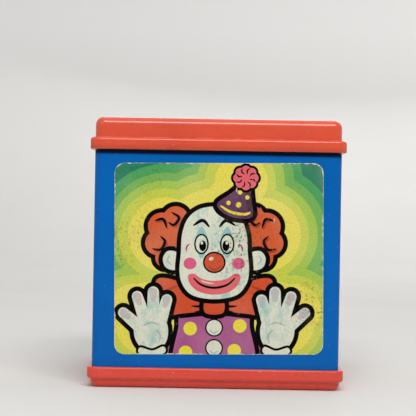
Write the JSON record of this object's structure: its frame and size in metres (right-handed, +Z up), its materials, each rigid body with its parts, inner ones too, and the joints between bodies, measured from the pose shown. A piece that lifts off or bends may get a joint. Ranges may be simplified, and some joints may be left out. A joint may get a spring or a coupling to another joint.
{
  "type": "jack in the box",
  "caption": "Square moulded toy box with a hinged lid, a side crank that turns a tune movement, and a clown on a coil spring that rises as the lid opens.",
  "frame": {"origin": "centre of the base's underside", "axes": "+Z up; -Y to the front, where the lid latches; +Y to the hinge; +X to the crank side"},
  "size_m": [0.172, 0.14, 0.1474],
  "materials": {
    "case_blue": "moulded blue plastic, satin gloss",
    "lid_red": "moulded red-orange plastic, satin gloss",
    "base_red": "moulded red plastic, satin gloss",
    "label_print": "printed paper label, worn",
    "screw_steel": "zinc-plated steel",
    "spring_steel": "drawn spring wire",
    "pressed_steel": "plated pressed steel",
    "movement_brass": "machined brass",
    "gear_nylon": "moulded nylon",
    "crank_white": "moulded white plastic",
    "knob_yellow": "moulded yellow plastic",
    "inner_plastic": "moulded plastic",
    "costume_cloth": "printed cotton",
    "ruff_cloth": "pleated cotton",
    "bow_cloth": "stitched felt",
    "glove_vinyl": "soft white vinyl",
    "face_vinyl": "soft vinyl, painted",
    "nose_red": "red plastic",
    "hair_orange": "curled yarn",
    "hat_felt": "felt",
    "tassel_yarn": "yarn pompon"
  },
  "bodies": {
    "case": {"case_body": "case_blue", "base_tray": "base_red", "base_screws": "screw_steel", "front_label": "label_print", "right_label": "label_print", "back_label": "label_print", "left_label": "label_print", "hinge_pin": "spring_steel", "latch_pin": "spring_steel", "latch_spring": "spring_steel", "movement_frame": "pressed_steel", "frame_screws": "screw_steel", "tone_comb": "spring_steel", "comb_screws": "screw_steel", "crank_bush": "crank_white", "spring_seat": "inner_plastic", "seat_screws": "screw_steel", "body_spring": "spring_steel", "costume": "costume_cloth"},
    "lid": {"lid_shell": "lid_red", "lid_keeper": "pressed_steel", "keeper_screws": "screw_steel"},
    "latch": {"latch_lever": "crank_white"},
    "drum": {"tune_drum": "movement_brass", "drum_gear": "gear_nylon", "drum_shaft": "spring_steel", "release_cam": "gear_nylon"},
    "crank": {"crank_shaft": "spring_steel", "crank_pinion": "gear_nylon", "crank_arm": "crank_white", "crank_screw": "screw_steel", "knob_pin": "spring_steel"},
    "knob": {"crank_knob": "knob_yellow"},
    "figure": {"spring_cap": "inner_plastic", "ruff_collar": "ruff_cloth", "bow_tie": "bow_cloth", "sleeve_left": "costume_cloth", "sleeve_right": "costume_cloth", "hand_left": "glove_vinyl", "hand_right": "glove_vinyl"},
    "neck": {"neck_plug": "inner_plastic"},
    "head": {"head_shell": "face_vinyl", "nose": "nose_red", "hair_left": "hair_orange", "hair_right": "hair_orange", "hat": "hat_felt", "hat_tassel": "tassel_yarn"}
  },
  "joints": [
    {"name": "lid_hinge", "type": "hinge", "parent": "case", "child": "lid", "pos_m": [0, 0.0682, 0.127], "axis": [-1, 0, 0], "range_deg": [0, 115]},
    {"name": "figure_rise", "type": "slide", "parent": "case", "child": "figure", "axis": [0, 0, 1], "range_m": [0, 0.14], "deforming": ["body_spring", "costume"]},
    {"name": "head_nod", "type": "hinge", "parent": "figure", "child": "neck", "pos_m": [-0.004, 0, 0.05], "axis": [1, 0, 0], "range_deg": [-7, 7], "stiffness_Nm_per_rad": 0.2},
    {"name": "head_sway", "type": "hinge", "parent": "neck", "child": "head", "pos_m": [-0.004, 0, 0.05], "axis": [0, 1, 0], "range_deg": [-7, 7], "stiffness_Nm_per_rad": 0.2},
    {"name": "latch_swing", "type": "hinge", "parent": "case", "child": "latch", "pos_m": [0, -0.0585, 0.098], "axis": [1, 0, 0], "range_deg": [0, 4.5], "stiffness_Nm_per_rad": 0.02, "deforming": ["latch_spring"]},
    {"name": "crank_spin", "type": "hinge", "parent": "case", "child": "crank", "pos_m": [0.06, 0, 0.06], "axis": [1, 0, 0], "continuous": true},
    {"name": "drum_spin", "type": "hinge", "parent": "case", "child": "drum", "pos_m": [0.045, -0.02, 0.04186], "axis": [1, 0, 0], "continuous": true},
    {"name": "knob_spin", "type": "hinge", "parent": "crank", "child": "knob", "pos_m": [0.09, 0, 0.026], "axis": [1, 0, 0], "continuous": true}
  ],
  "couplings": [
    {"joint": "figure_rise", "follows": "lid_hinge", "m_per_rad": 0.0697},
    {"joint": "drum_spin", "follows": "crank_spin", "ratio": -0.33333}
  ]
}
